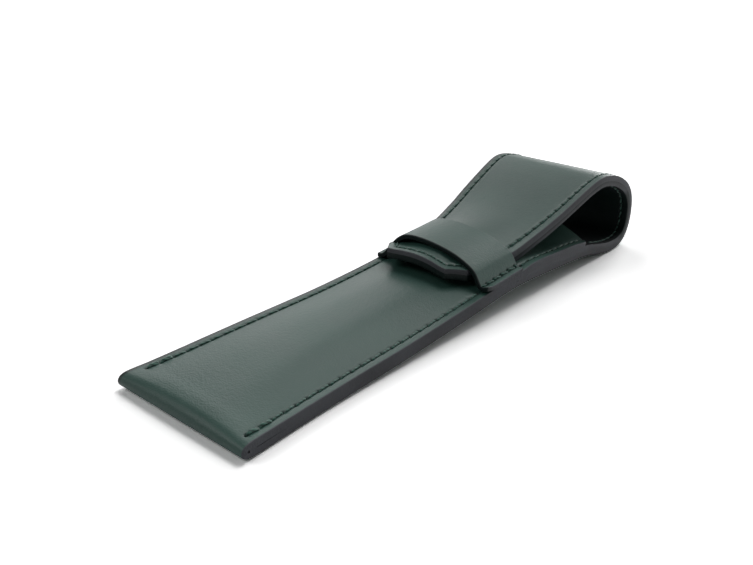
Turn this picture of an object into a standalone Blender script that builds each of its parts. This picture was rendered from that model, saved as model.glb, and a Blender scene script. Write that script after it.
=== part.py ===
"""A slim leather pen case that lies on its back panel, in metres with +Z up.

One long leather strip is folded at the closed end and sewn up both sides into a pocket. Its tail
runs on past the mouth, curls over as a lined flap, and tucks its tongue under a keeper strap. The
tail is cut into rigid lengths where it rolls and unrolls. X runs from the closed end to the loop.
"""

import math
from dataclasses import dataclass

import bmesh
import bpy
from mathutils import Vector

mm = 0.001

# Driving dimensions of the leather
strip_thickness = 1.8 * mm
lining_thickness = 1.5 * mm
keeper_thickness = 1.3 * mm
touching_gap = 0.3 * mm

# The pocket
pocket_width = 40 * mm
pocket_length = 149 * mm
crown_height = 10 * mm
swell_start = 6 * mm
swell_length = 28 * mm
lining_in_pocket = 36 * mm
lining_ramp = 3 * mm
pillow_power = 1.5

# The flap's loop, from the mouth round to the tongue's tip
foot_length = 20 * mm
loop_low_radius = 10.5 * mm
loop_low_turn = math.radians(132)
loop_high_radius = 32 * mm
flap_slope = math.radians(24)
dip_radius = 25 * mm
tongue_inset = 6 * mm
tongue_droop = 1.6 * mm
tongue_past_keeper = 6 * mm
chamfer_length = 5.5 * mm
chamfer_width = 3.25 * mm
hinge_outside_leather = 0.2 * mm

# The keeper strap
keeper_to_mouth = 61 * mm
keeper_width = 19.5 * mm
keeper_side_room = 1 * mm
keeper_foot_bend = 1.6 * mm
keeper_shoulder_bend = 1.4 * mm

# Stitching
thread_diameter = 0.5 * mm
seam_inset = 2.5 * mm
groove_depth = 0.8 * mm
groove_floor_width = 1.2 * mm
groove_lip_width = 1.6 * mm
stitch_hole_length = 1.4 * mm
seam_end_margin = 1.6 * mm
thread_sides = 6

# Shares of the flat middle of a strip, where its cross-section has points
pillow_shares = (-0.86, -0.62, -0.38, -0.14, 0.14, 0.38, 0.62, 0.86)
flat_shares = (-0.5, 0.5)

fold_steps = 8
degrees_a_step = math.radians(10)

# Worked out from the sizes above
pocket_half = pocket_width / 2
tongue_half = pocket_half - tongue_inset
fold_radius = strip_thickness + touching_gap / 2
panel_top = 2 * strip_thickness + touching_gap
lining_step = lining_thickness + touching_gap
stack = strip_thickness + touching_gap + lining_thickness
lining_start = pocket_length - lining_in_pocket
ramp_end = lining_start - touching_gap
ramp_start = ramp_end - lining_ramp
foot_end = pocket_length + foot_length
overall_length = foot_end + loop_low_radius
tongue_level = crown_height + touching_gap + stack
keeper_from_end = pocket_length - keeper_to_mouth
tip_at = keeper_from_end - tongue_past_keeper
keeper_end = keeper_from_end + keeper_width
thread_radius = thread_diameter / 2
hole_half = stitch_hole_length / 2
lip_half = groove_lip_width / 2
floor_half = groove_floor_width / 2

# Lengths along the outer face of the tail, counted from the end of its foot
low_arc = loop_low_radius * loop_low_turn
high_arc = loop_high_radius * (math.pi + flap_slope - loop_low_turn)
high_centre_x = foot_end + (loop_low_radius - loop_high_radius) * math.sin(loop_low_turn)
high_centre_z = loop_low_radius + (loop_high_radius - loop_low_radius) * math.cos(loop_low_turn)
slope_top_x = high_centre_x - loop_high_radius * math.sin(flap_slope)
slope_top_z = high_centre_z + loop_high_radius * math.cos(flap_slope)
dip_drop = dip_radius * (1 - math.cos(flap_slope))
slope_length = (slope_top_z - tongue_level - dip_drop) / math.sin(flap_slope)
dip_arc = dip_radius * flap_slope
dip_end_x = slope_top_x - slope_length * math.cos(flap_slope) - dip_radius * math.sin(flap_slope)
level_length = dip_end_x - tip_at
low_hinge = low_arc / 2
high_hinge = low_arc + high_arc / 2
neck_start = low_arc + high_arc
neck_end = neck_start + slope_length + dip_arc
tip_end = neck_end + level_length
chamfer_start = tip_end - chamfer_length


@dataclass
class Station:
    """A place along a strip: a point of its outer face, the way out, and the cross-section there."""

    x: float
    z: float
    out_x: float
    out_z: float
    half: float
    pillow: float = 0
    droop: float = 0
    groove: str = "sides"
    hole_follows: bool = False


def clear_scene():
    for obj in list(bpy.data.objects):
        bpy.data.objects.remove(obj, do_unlink=True)


def smooth_share(value, start, end):
    share = min(1, max(0, (value - start) / (end - start)))
    return share * share * (3 - 2 * share)


def spaced(start, end, count):
    return [start + (end - start) * step / (count - 1) for step in range(count)]


def arc_steps(length, radius):
    return max(3, math.ceil(length / radius / degrees_a_step) + 1)


def leather(name, colour, roughness):
    material = bpy.data.materials.new(name)
    material.use_nodes = True
    shader = material.node_tree.nodes["Principled BSDF"]
    shader.inputs["Base Color"].default_value = (*colour, 1)
    shader.inputs["Roughness"].default_value = roughness
    shader.inputs["Metallic"].default_value = 0
    return material


def empty(name, place, parent):
    made = bpy.data.objects.new(name, None)
    bpy.context.scene.collection.objects.link(made)
    made.parent = parent
    made.location = place - (parent.matrix_world.translation if parent else Vector())
    bpy.context.view_layer.update()
    return made


def world_point(x, y, z):
    """The part's origin is under its middle, and x here is counted from the closed end."""
    return Vector((x - overall_length / 2, y, z))


def finish(name, bm, material, body):
    """Make a mesh object of the closed body, with its origin on its body's joint."""
    bmesh.ops.recalc_face_normals(bm, faces=bm.faces)
    bmesh.ops.translate(bm, vec=-body.matrix_world.translation, verts=bm.verts)
    mesh = bpy.data.meshes.new(name)
    bm.to_mesh(mesh)
    bm.free()
    mesh.shade_smooth()
    mesh.set_sharp_from_angle(angle=math.radians(35))
    mesh.materials.append(material)
    obj = bpy.data.objects.new(name, mesh)
    bpy.context.scene.collection.objects.link(obj)
    obj.parent = body
    return obj


def slab(name, outer, inner, open_cells, material, body):
    """A closed solid between two grids of points, with straight holes where a cell is open."""
    bm = bmesh.new()
    high = [[bm.verts.new(point) for point in row] for row in outer]
    low = [[bm.verts.new(point) for point in row] for row in inner]
    last_row = len(high) - 1
    last_column = len(high[0]) - 1

    def corners(grid, row, column):
        return [
            grid[row][column],
            grid[row][column + 1],
            grid[row + 1][column + 1],
            grid[row + 1][column],
        ]

    for row in range(last_row):
        for column in range(last_column):
            top = corners(high, row, column)
            bottom = corners(low, row, column)
            if (row, column) in open_cells:
                for side in range(4):
                    after = (side + 1) % 4
                    bm.faces.new((top[side], top[after], bottom[after], bottom[side]))
            else:
                bm.faces.new(top)
                bm.faces.new(reversed(bottom))
    for row in range(last_row):
        for column in (0, last_column):
            after = row + 1
            bm.faces.new((high[row][column], high[after][column], low[after][column], low[row][column]))
    for column in range(last_column):
        for row in (0, last_row):
            after = column + 1
            bm.faces.new((high[row][column], high[row][after], low[row][after], low[row][column]))
    return finish(name, bm, material, body)


def crown_at(station, y):
    """How far the strip's middle stands out from its edges, at this distance from the centre line."""
    reach = station.half - seam_inset - lip_half
    pillow = station.pillow * max(0, 1 - (y / reach) ** 2) ** pillow_power
    return pillow - station.droop * (y / station.half) ** 2


def point_at(station, y, offset):
    """The point that lies this far out from the strip's outer face."""
    reach = crown_at(station, y) + offset
    return world_point(station.x + station.out_x * reach, y, station.z + station.out_z * reach)


def cross_section(half, shares):
    """Distances from the centre line: each edge with its stitching groove, and the middle."""
    seam = half - seam_inset
    edge = [half, seam + lip_half, seam + floor_half, seam - floor_half, seam - lip_half]
    middle = [share * (seam - lip_half) for share in shares]
    return [-y for y in edge] + middle + list(reversed(edge))


def groove_columns(count):
    """The columns that lie on the floors of the two grooves."""
    return (2, 3, count - 4, count - 3)


def depth_at(station, column, count):
    if station.groove == "sides" and column in groove_columns(count):
        return groove_depth
    if station.groove == "across" and 2 <= column <= count - 3:
        return groove_depth
    return 0


def strip(name, stations, face, thickness, grooved_face, shares, material, body):
    """A length of leather whose outer face is this far inside the line of stations."""
    outer = []
    inner = []
    for station in stations:
        section = cross_section(station.half, shares)
        depths = [depth_at(station, column, len(section)) for column in range(len(section))]
        cut = [depth if grooved_face == "outer" else 0 for depth in depths]
        cut_inside = [depth if grooved_face == "inner" else 0 for depth in depths]
        outer.append([point_at(station, y, -face - d) for y, d in zip(section, cut)])
        inner.append([point_at(station, y, d - face - thickness) for y, d in zip(section, cut_inside)])
    count = len(outer[0])
    open_cells = {
        (row, column)
        for row, station in enumerate(stations)
        if station.hole_follows
        for column in (2, count - 4)
    }
    return slab(name, outer, inner, open_cells, material, body)


def thread(name, path, material, body):
    """An unbroken round thread along a closed path, mitred at each corner."""
    count = len(path)
    ways = [(path[(k + 1) % count] - path[k]).normalized() for k in range(count)]
    across = [(ways[k - 1] + ways[k]).normalized() for k in range(count)]
    side = ways[0].orthogonal().normalized()
    other = ways[0].cross(side)
    ring = []
    for k in range(thread_sides):
        turn = 2 * math.pi * (k + 0.5) / thread_sides
        ring.append(path[0] + (side * math.cos(turn) + other * math.sin(turn)) * thread_radius)

    def moved(points, way, corner):
        normal = across[corner]
        return [p + way * ((path[corner] - p).dot(normal) / way.dot(normal)) for p in points]

    bm = bmesh.new()
    ring = moved(ring, ways[0], 0)
    first = ring
    rows = [[bm.verts.new(p) for p in ring]]
    for k in range(1, count):
        ring = moved(ring, ways[k - 1], k)
        rows.append([bm.verts.new(p) for p in ring])
    last = moved(ring, ways[-1], 0)
    shift = min(
        range(thread_sides),
        key=lambda s: sum((last[k] - first[(k + s) % thread_sides]).length for k in range(thread_sides)),
    )
    closing = [rows[0][(k + shift) % thread_sides] for k in range(thread_sides)]
    for here, there in zip(rows, [*rows[1:], closing]):
        for k in range(thread_sides):
            after = (k + 1) % thread_sides
            bm.faces.new((here[k], here[after], there[after], there[k]))
    return finish(name, bm, material, body)


def front_station(x, **details):
    """A place on the front panel, which swells from the fold and steps up over the lining."""
    step = lining_step * smooth_share(x, ramp_start, ramp_end)
    top = panel_top + step
    swell = smooth_share(x, swell_start, swell_start + swell_length)
    return Station(x, top, 0, 1, pocket_half, pillow=(crown_height - top) * swell, **details)


def back_station(x, **details):
    return Station(x, 0, 0, -1, pocket_half, **details)


def fold_station(turn):
    out_x = -math.sin(turn)
    out_z = math.cos(turn)
    x = fold_radius + fold_radius * out_x
    return Station(x, fold_radius + fold_radius * out_z, out_x, out_z, pocket_half, groove="none")


def tail_station(travel, **details):
    """A place on the tail's outer face, this far from the end of its foot."""
    if travel <= low_arc:
        turn = travel / loop_low_radius
        out_x = math.sin(turn)
        out_z = -math.cos(turn)
        x = foot_end + loop_low_radius * out_x
        z = loop_low_radius + loop_low_radius * out_z
    elif travel <= neck_start:
        turn = loop_low_turn + (travel - low_arc) / loop_high_radius
        out_x = math.sin(turn)
        out_z = -math.cos(turn)
        x = high_centre_x + loop_high_radius * out_x
        z = high_centre_z + loop_high_radius * out_z
    elif travel <= neck_start + slope_length:
        out_x = -math.sin(flap_slope)
        out_z = math.cos(flap_slope)
        x = slope_top_x - (travel - neck_start) * out_z
        z = slope_top_z + (travel - neck_start) * out_x
    elif travel <= neck_end:
        turn = (neck_end - travel) / dip_radius
        out_x = -math.sin(turn)
        out_z = math.cos(turn)
        x = dip_end_x - dip_radius * out_x
        z = tongue_level + dip_radius - dip_radius * out_z
    else:
        out_x = 0
        out_z = 1
        x = dip_end_x - (travel - neck_end)
        z = tongue_level
    taper = smooth_share(travel, low_arc, neck_end)
    half = pocket_half + (tongue_half - pocket_half) * taper
    half -= chamfer_width * max(0, travel - chamfer_start) / chamfer_length
    droop = tongue_droop * smooth_share(travel, neck_start, neck_end)
    return Station(x, z, out_x, out_z, half, droop=droop, **details)


def hole_rows(make, middle, way):
    """The two rows that bound a stitch hole."""
    return [make(middle - way * hole_half, hole_follows=True), make(middle + way * hole_half)]


def pocket_leather(material, body):
    """The front panel, the fold at the closed end and the back panel with its foot, in one piece."""
    seam_start = fold_radius + seam_end_margin
    front = [front_station(x) for x in spaced(pocket_length, ramp_end, 4)]
    front += [front_station(x) for x in spaced(ramp_end, ramp_start, 5)[1:]]
    front += [front_station(x) for x in spaced(ramp_start, swell_start + swell_length, 5)[1:]]
    front += [front_station(x) for x in spaced(swell_start + swell_length, swell_start, 7)[1:]]
    front += hole_rows(front_station, seam_start, -1)
    fold = [fold_station(math.pi * step / fold_steps) for step in range(fold_steps + 1)]
    back = hole_rows(back_station, seam_start, 1)
    back += [back_station(x) for x in spaced(swell_start, lining_start, 3)]
    back += hole_rows(back_station, foot_end - seam_end_margin, 1)
    back.append(back_station(foot_end - touching_gap / 2))
    stations = front + fold + back
    return strip("pocket_leather", stations, 0, strip_thickness, "outer", pillow_shares, material, body)


def pocket_lining(material, body):
    """The lining's first length: sewn between the panels, then bare along the foot."""
    stations = [back_station(lining_start), back_station(pocket_length)]
    stations += hole_rows(back_station, foot_end - seam_end_margin, 1)
    stations.append(back_station(foot_end - touching_gap / 2))
    face = strip_thickness + touching_gap
    return strip("pocket_lining", stations, face, lining_thickness, "inner", flat_shares, material, body)


def pocket_seam(name, side, material, body):
    """One side seam: along the top over the strap's foot, down, back along the bottom, and up."""
    sunk = thread_radius
    seam_start = fold_radius + seam_end_margin
    seam_end = foot_end - seam_end_margin
    clear = touching_gap + thread_radius
    strap_level = panel_top + touching_gap + keeper_thickness - sunk
    lined_level = panel_top + lining_step - sunk
    climb = strap_level - panel_top + sunk
    route = [
        (seam_start, panel_top - sunk),
        (keeper_from_end - clear - climb, panel_top - sunk),
        (keeper_from_end - clear, strap_level),
        (keeper_end + clear, strap_level),
        (ramp_end, lined_level),
        (pocket_length + clear, lined_level),
        (pocket_length + clear, stack - sunk),
        (seam_end, stack - sunk),
        (seam_end, sunk),
        (seam_start, sunk),
    ]
    y = side * (pocket_half - seam_inset)
    return thread(name, [world_point(x, y, z) for x, z in route], material, body)


def keeper_line():
    """(y, z, out y, out z, in the groove) along half of the strap's inner face, from its foot's edge."""
    level = panel_top + touching_gap
    seam = pocket_half - seam_inset
    places = [
        (pocket_half, False),
        (seam + lip_half, False),
        (seam + floor_half, True),
        (seam - floor_half, True),
        (seam - lip_half, False),
    ]
    line = [(y, level, 0, 1, grooved) for y, grooved in places]
    leg = tongue_half + keeper_side_room
    for turn in spaced(0, math.pi / 2, 5):
        out_y = math.sin(turn)
        out_z = math.cos(turn)
        y = leg + keeper_foot_bend - keeper_foot_bend * out_y
        line.append((y, level + keeper_foot_bend - keeper_foot_bend * out_z, out_y, out_z, False))
    inner_top = tongue_level + touching_gap
    shoulder = leg - keeper_shoulder_bend

    def crown(y):
        return inner_top - tongue_droop * (y / tongue_half) ** 2

    tilt = math.atan(2 * tongue_droop * shoulder / tongue_half**2)
    join = shoulder + keeper_shoulder_bend * math.sin(tilt)
    centre = crown(join) - keeper_shoulder_bend * math.cos(tilt)
    for turn in spaced(math.pi / 2, tilt, 5):
        out_y = math.sin(turn)
        out_z = math.cos(turn)
        y = shoulder + keeper_shoulder_bend * out_y
        line.append((y, centre + keeper_shoulder_bend * out_z, out_y, out_z, False))
    for y in spaced(join, 0, 5)[1:]:
        out = Vector((2 * tongue_droop * y / tongue_half**2, 1)).normalized()
        line.append((y, crown(y), out.x, out.y, False))
    return line


def keeper_strap(material, body):
    """The strap over the tongue, sewn down along both edges of the pocket."""
    half = keeper_line()
    line = half + [(-y, z, -out_y, out_z, grooved) for y, z, out_y, out_z, grooved in reversed(half[:-1])]
    outer = []
    inner = []
    for y, z, out_y, out_z, grooved in line:
        rise = keeper_thickness - (groove_depth if grooved else 0)
        ends = (keeper_from_end, keeper_end)
        outer.append([world_point(x, y + out_y * rise, z + out_z * rise) for x in ends])
        inner.append([world_point(x, y, z) for x in ends])
    return slab("keeper_strap", outer, inner, set(), material, body)


def tail_rows(start, end, steps):
    """Rows along one rigid length of the tail, with a stitch hole near each end."""
    low = start + touching_gap / 2
    high = end - touching_gap / 2
    between = spaced(low + seam_end_margin + hole_half, high - seam_end_margin - hole_half, steps)
    rows = [tail_station(low)]
    rows += hole_rows(tail_station, low + seam_end_margin, 1)
    rows += [tail_station(travel) for travel in between[1:-1]]
    rows += hole_rows(tail_station, high - seam_end_margin, 1)
    rows.append(tail_station(high))
    return rows


def run_of_stitches(travels, side, offset):
    """Points of a thread that keeps its distance from the strip's edge."""
    stations = [tail_station(travel) for travel in travels]
    return [point_at(s, side * (s.half - seam_inset), offset) for s in stations]


outer_thread = -thread_radius
inner_thread = thread_radius - stack


def tail_seam(name, start, end, steps, side, material, body):
    first = start + touching_gap / 2 + seam_end_margin
    last = end - touching_gap / 2 - seam_end_margin
    travels = spaced(first, last, steps)
    path = run_of_stitches(travels, side, outer_thread)
    path += reversed(run_of_stitches(travels, side, inner_thread))
    return thread(name, path, material, body)


def tail_length(name, start, end, steps, shares, materials, body):
    """One rigid length of the tail: its leather, its lining and its two seams."""
    rows = tail_rows(start, end, steps)
    face = strip_thickness + touching_gap
    strip(f"{name}_leather", rows, 0, strip_thickness, "outer", shares, materials["leather"], body)
    strip(f"{name}_lining", rows, face, lining_thickness, "inner", shares, materials["lining"], body)
    for word, side in (("near", -1), ("far", 1)):
        tail_seam(f"{name}_stitching_{word}", start, end, steps, side, materials["thread"], body)


def tongue_rows():
    """Rows of the tongue, whose stitching groove turns across it just short of the tip."""
    low = neck_end + touching_gap / 2
    rows = [tail_station(low)]
    rows += hole_rows(tail_station, low + seam_end_margin, 1)
    first = low + seam_end_margin + hole_half
    rows += [tail_station(travel) for travel in spaced(first, chamfer_start, 4)[1:]]
    across = tip_end - seam_inset
    rows.append(tail_station(across - lip_half))
    rows.append(tail_station(across - floor_half, groove="across"))
    rows.append(tail_station(across + floor_half, groove="across"))
    rows.append(tail_station(across + lip_half, groove="none"))
    rows.append(tail_station(tip_end, groove="none"))
    return rows


def tongue_stitching(material, body):
    """One thread up the near edge, across the tip and down the far edge, on both faces."""
    start = neck_end + touching_gap / 2 + seam_end_margin
    across = tip_end - seam_inset
    corner = tail_station(across)
    width = corner.half - seam_inset

    def face(offset):
        near = run_of_stitches((start, chamfer_start), -1, offset)
        tip = [point_at(corner, y, offset) for y in spaced(-width, width, 5)]
        return near + tip + run_of_stitches((chamfer_start, start), 1, offset)

    path = face(outer_thread)
    path += reversed(face(inner_thread))
    return thread("tongue_stitching", path, material, body)


def tongue(materials, body):
    rows = tongue_rows()
    face = strip_thickness + touching_gap
    strip("tongue_leather", rows, 0, strip_thickness, "outer", pillow_shares, materials["leather"], body)
    strip("tongue_lining", rows, face, lining_thickness, "inner", pillow_shares, materials["lining"], body)
    tongue_stitching(materials["thread"], body)


def hinge_place(travel):
    """The hinge lies just outside the leather, so that the cut ends swing apart."""
    station = tail_station(travel)
    out = hinge_outside_leather
    return world_point(station.x + station.out_x * out, 0, station.z + station.out_z * out)


def main():
    clear_scene()
    materials = {
        "leather": leather("green_leather", (0.045, 0.085, 0.07), 0.5),
        "lining": leather("dark_lining", (0.02, 0.026, 0.026), 0.8),
        "strap": leather("strap_leather", (0.05, 0.09, 0.075), 0.5),
        "thread": leather("green_thread", (0.02, 0.13, 0.09), 0.7),
    }
    case = empty("case_body", Vector(), None)
    foot = empty("loop_foot_slide", world_point(foot_end, 0, 0), case)
    back = empty("loop_back_hinge", hinge_place(low_hinge), foot)
    top = empty("loop_top_hinge", hinge_place(high_hinge), back)
    flap = empty("tongue_slide", world_point(dip_end_x, 0, tongue_level), top)

    pocket_leather(materials["leather"], case)
    pocket_lining(materials["lining"], case)
    keeper_strap(materials["strap"], case)
    pocket_seam("pocket_seam_near", -1, materials["thread"], case)
    pocket_seam("pocket_seam_far", 1, materials["thread"], case)
    half_low = arc_steps(low_hinge, loop_low_radius)
    half_high = arc_steps(high_arc / 2, loop_high_radius)
    tail_length("loop_foot", 0, low_hinge, half_low, flat_shares, materials, foot)
    tail_length("loop_back", low_hinge, high_hinge, half_low + half_high, flat_shares, materials, back)
    tail_length("loop_top", high_hinge, neck_start, half_high, flat_shares, materials, top)
    tail_length("neck", neck_start, neck_end, 9, pillow_shares, materials, top)
    tongue(materials, flap)


main()
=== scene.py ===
import math

import bmesh
import bpy
import numpy as np
from mathutils import Matrix, Vector


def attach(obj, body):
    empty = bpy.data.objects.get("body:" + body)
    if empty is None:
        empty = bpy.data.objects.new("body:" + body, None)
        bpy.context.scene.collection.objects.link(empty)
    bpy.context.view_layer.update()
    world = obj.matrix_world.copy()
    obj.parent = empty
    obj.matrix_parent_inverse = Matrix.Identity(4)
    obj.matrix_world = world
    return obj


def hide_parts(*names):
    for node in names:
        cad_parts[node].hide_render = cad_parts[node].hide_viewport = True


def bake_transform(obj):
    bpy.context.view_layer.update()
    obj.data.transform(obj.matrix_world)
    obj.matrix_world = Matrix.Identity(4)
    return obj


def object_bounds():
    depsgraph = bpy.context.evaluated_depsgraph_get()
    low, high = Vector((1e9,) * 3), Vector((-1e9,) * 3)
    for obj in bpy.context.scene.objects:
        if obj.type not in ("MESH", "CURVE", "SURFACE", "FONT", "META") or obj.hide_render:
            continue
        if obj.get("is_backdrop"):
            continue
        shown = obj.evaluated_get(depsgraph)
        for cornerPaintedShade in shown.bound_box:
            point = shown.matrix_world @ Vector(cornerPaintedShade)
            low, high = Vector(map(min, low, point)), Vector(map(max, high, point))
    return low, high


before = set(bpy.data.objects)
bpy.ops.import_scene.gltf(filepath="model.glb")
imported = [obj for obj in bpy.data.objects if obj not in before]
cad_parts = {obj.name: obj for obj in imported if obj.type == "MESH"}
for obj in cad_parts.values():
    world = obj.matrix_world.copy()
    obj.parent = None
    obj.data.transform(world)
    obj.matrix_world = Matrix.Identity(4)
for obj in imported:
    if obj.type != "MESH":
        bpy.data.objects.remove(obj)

cadLow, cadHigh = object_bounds()

# Lengths are in millimetres up to the last step of each piece, counted from the closed end of the case.
mm = 0.001
closedEndX = -89.75
sides = (-1, 1)  # near, far
onLevel = 0.02  # a point this near to a face or a cut lies on it

case = {
    "blankHalfWidth": 20.0,
    "sideKeepsShape": 6,
    "leather": 1.9,
    "lining": 1.7,
    "layersOverlap": 0.01,
    "restsOnThread": 0.2,
    "thinAtMouth": 1.35,
    "paredFromMouth": 16.0,
    "thinAtTip": 1.25,
    "thinTipLength": 1.5,
    "paredFromTip": 12,
    "thickerAtFold": 0.08,
    "foldReach": 3,
    "backFillsFrom": 6,
    "backFillsOver": 6,
    "liningStartsAt": 104.5,
    "liningAtLeast": 0.1,
    "liningWholeOver": 3,
    "loopTopFrom": 12.0,
    "loopTopWithin": 12,
    "mouthCorner": 4.5,
    "cutEdgeRound": 0.3,
    "liningEdgeRound": 0.25,
    "rowStep": 0.363,
    "tipRowStep": 0.3,
}

# the front panel has a nearly flat top and straight flanks that meet it in a soft ridge
pillow = {"flank": 0.6, "flat": 0.82, "round": 0.18, "ridge": 7, "fullEdge": 3}

seam = {
    "inset": 2.5,
    "pitch": 3.633,
    "furrowDepth": 0.26,
    "furrowWidth": 0.42,
    "holeDepth": 0.8,
    "holeWidth": 0.45,
    "firstNear": 3.5,
    "firstFar": 6.1,
    "endsBefore": 148.0,
    "threadRadius": 0.26,
    "sunkOnTop": 0.06,
    "sunkUnderneath": 0.17,
    "lean": 5,
    "bodyShorterBy": 1.5,
    "endSteps": ((0.42, -0.16, 0.9), (0.24, -0.42, 0.75)),
    "arch": 0.06,
    "archReach": 1.8,
    "doubled": 2,
    "doubledThick": 1.45,
    "doubledUp": 0.2,
    "doubledAside": (0.18, 0.3),
}

# where the leather's colour is darkened, how much, and over what length that fades: painted shade in the
# stitch holes and furrows and between the layers, and darker lining edges and far rim
darkened = {
    "fullSink": 0.62,
    "sinkPower": 1.1,
    "loopBackFrom": 172.5,
    "tipLength": 11,
    "edgeFade": 3,
    "liningTipRim": 8,
    "glueGapShade": 0.9,
    "glueGapShadeStarts": 8,
    "glueGapShadeStartFade": 12,
    "glueGapShadeStopsBefore": 12,
    "glueGapShadeStopFade": 5,
    "glueGapShadeOutside": 19.9,
    "farRim": 0.95,
    "farRimFrom": 18.9,
    "farRimFade": 0.3,
}

# The strip's outer face, as a walk from the pocket's mouth along the front panel, round the fold,
# along the back panel, round the loop and down to the tongue's tip.
# along, up, near half width, far half width, far side's rise, crown, edge that the crown leaves flat
stripWalk = [
    (149.0, 8.0, 20.0, 20.0, 0.0, 4.4, 3.0),
    (145.0, 8.65, 20.0, 20.0, 0.0, 4.2, 3.0),
    (138.0, 9.5, 20.0, 19.9, 0.0, 2.6, 3.0),
    (127.0, 10.1, 19.95, 19.8, 0.0, 0.8, 3.0),
    (118.0, 10.6, 19.9, 19.6, 0.0, 0.3, 3.0),
    (112.0, 10.5, 19.8, 19.5, 0.0, 0.5, 3.0),
    (108.0, 9.9, 19.7, 19.4, 0.1, 1.1, 3.0),
    (104.0, 9.25, 19.65, 19.3, 0.15, 1.6, 3.0),
    (95.0, 8.6, 19.5, 19.1, 0.3, 1.8, 3.0),
    (85.0, 7.6, 19.4, 18.9, 0.45, 2.0, 3.0),
    (75.0, 6.6, 19.2, 19.0, 0.6, 2.8, 3.0),
    (62.0, 5.5, 19.05, 19.3, 0.75, 3.1, 3.0),
    (50.0, 4.8, 19.0, 19.6, 0.9, 3.0, 3.0),
    (37.0, 4.25, 19.0, 19.9, 0.95, 2.75, 3.0),
    (25.0, 3.95, 19.3, 20.1, 0.75, 2.3, 3.0),
    (15.0, 3.85, 19.8, 20.3, 0.4, 1.8, 3.0),
    (8.0, 3.85, 20.2, 20.5, 0.1, 1.4, 2.4),
    (4.0, 3.9, 20.5, 20.6, 0.0, 1.1, 1.6),
    (1.9, 3.7, 20.6, 20.7, 0.0, 0.8, 1.0),
    (0.6, 3.1, 20.7, 20.75, 0.0, 0.3, 0.6),
    (0.1, 1.95, 20.75, 20.8, 0.0, 0.1, 0.2),
    (0.6, 0.9, 20.7, 20.75, 0.0, 0.0, 0.0),
    (1.9, 0.25, 20.6, 20.7, 0.0, 0.0, 0.0),
    (4.0, 0.05, 20.5, 20.6, 0.0, 0.0, 0.0),
    (15.0, 0.02, 19.8, 20.3, 0.4, 0.0, 0.0),
    (25.0, 0.1, 19.3, 20.1, 0.75, 0.0, 0.0),
    (37.0, 0.4, 19.0, 19.9, 0.95, 0.0, 0.0),
    (50.0, 0.95, 19.0, 19.6, 0.9, 0.0, 0.0),
    (62.0, 1.7, 19.05, 19.3, 0.75, 0.0, 0.0),
    (75.0, 2.75, 19.2, 19.0, 0.6, 0.0, 0.0),
    (85.0, 3.75, 19.4, 18.9, 0.45, 0.0, 0.0),
    (95.0, 4.75, 19.5, 19.1, 0.3, 0.0, 0.0),
    (104.0, 5.35, 19.65, 19.3, 0.15, 0.0, 0.0),
    (112.0, 5.35, 19.8, 19.5, 0.0, 0.0, 0.0),
    (120.0, 5.0, 19.9, 19.65, 0.0, 0.0, 0.0),
    (130.0, 4.45, 19.95, 19.8, 0.0, 0.0, 0.0),
    (140.0, 3.85, 20.0, 19.9, 0.0, 0.0, 0.0),
    (147.0, 3.2, 20.0, 20.0, 0.0, 0.0, 0.0),
    (153.0, 2.2, 20.0, 20.0, 0.0, 0.0, 0.0),
    (158.0, 1.15, 20.0, 20.0, 0.0, 0.0, 0.0),
    (162.5, 0.4, 20.0, 20.0, 0.0, 0.0, 0.0),
    (167.0, 0.03, 20.0, 20.0, 0.0, 0.0, 0.0),
    (171.0, 0.05, 20.0, 20.0, 0.0, 0.0, 0.0),
    (174.3, 0.8, 20.0, 20.0, 0.0, 0.0, 0.0),
    (177.0, 2.4, 20.0, 20.0, 0.0, 0.0, 0.0),
    (179.0, 5.1, 20.0, 20.0, 0.0, 0.0, 0.0),
    (179.9, 8.6, 20.0, 20.0, 0.0, 0.0, 0.0),
    (179.8, 12.0, 20.0, 20.0, 0.0, 0.0, 0.0),
    (179.0, 15.6, 20.0, 20.0, 0.0, 0.0, 0.0),
    (176.9, 19.3, 20.0, 20.0, 0.0, 0.0, 0.0),
    (173.0, 22.8, 20.0, 20.0, 0.0, 0.0, 0.0),
    (167.8, 25.5, 20.0, 20.0, 0.0, 0.0, 0.0),
    (162.9, 27.2, 20.0, 20.0, 0.0, 0.05, 0.0),
    (158.2, 28.2, 20.0, 20.0, 0.0, 0.1, 0.0),
    (154.0, 28.6, 19.95, 19.95, 0.0, 0.15, 0.0),
    (150.0, 28.2, 19.8, 19.8, 0.0, 0.2, 0.0),
    (145.0, 26.8, 19.4, 19.4, 0.0, 0.3, 0.0),
    (140.0, 25.0, 19.0, 19.0, 0.0, 0.4, 0.0),
    (130.0, 21.1, 18.0, 18.2, 0.0, 0.7, 0.0),
    (124.0, 18.8, 17.2, 17.4, 0.1, 1.0, 0.0),
    (119.0, 17.0, 16.5, 16.8, 0.3, 1.4, 0.0),
    (114.0, 15.3, 15.8, 16.2, 0.5, 1.9, 0.0),
    (109.0, 13.9, 15.2, 15.7, 0.7, 2.6, 0.0),
    (104.0, 13.2, 14.7, 15.2, 0.8, 3.0, 0.0),
    (97.0, 13.1, 14.0, 14.8, 0.9, 3.0, 0.0),
    (90.0, 13.1, 13.3, 14.5, 1.0, 2.8, 0.0),
    (86.0, 13.3, 12.9, 14.3, 1.0, 2.1, 0.0),
    (82.0, 13.5, 12.6, 14.1, 1.1, 1.6, 0.0),
]


def runningLength(steps):
    return np.concatenate([[0], np.cumsum(steps)])


def curveThrough(knots, at, fine):
    slopes = np.gradient(knots, at, axis=0)
    i = np.clip(np.searchsorted(at, fine, side="right") - 1, 0, len(at) - 2)
    width = (at[i + 1] - at[i])[:, None]
    t = ((fine - at[i]) / (at[i + 1] - at[i]))[:, None]
    return (
        (2 * t**3 - 3 * t**2 + 1) * knots[i]
        + (t**3 - 2 * t**2 + t) * width * slopes[i]
        + (3 * t**2 - 2 * t**3) * knots[i + 1]
        + (t**3 - t**2) * width * slopes[i + 1]
    )


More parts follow.
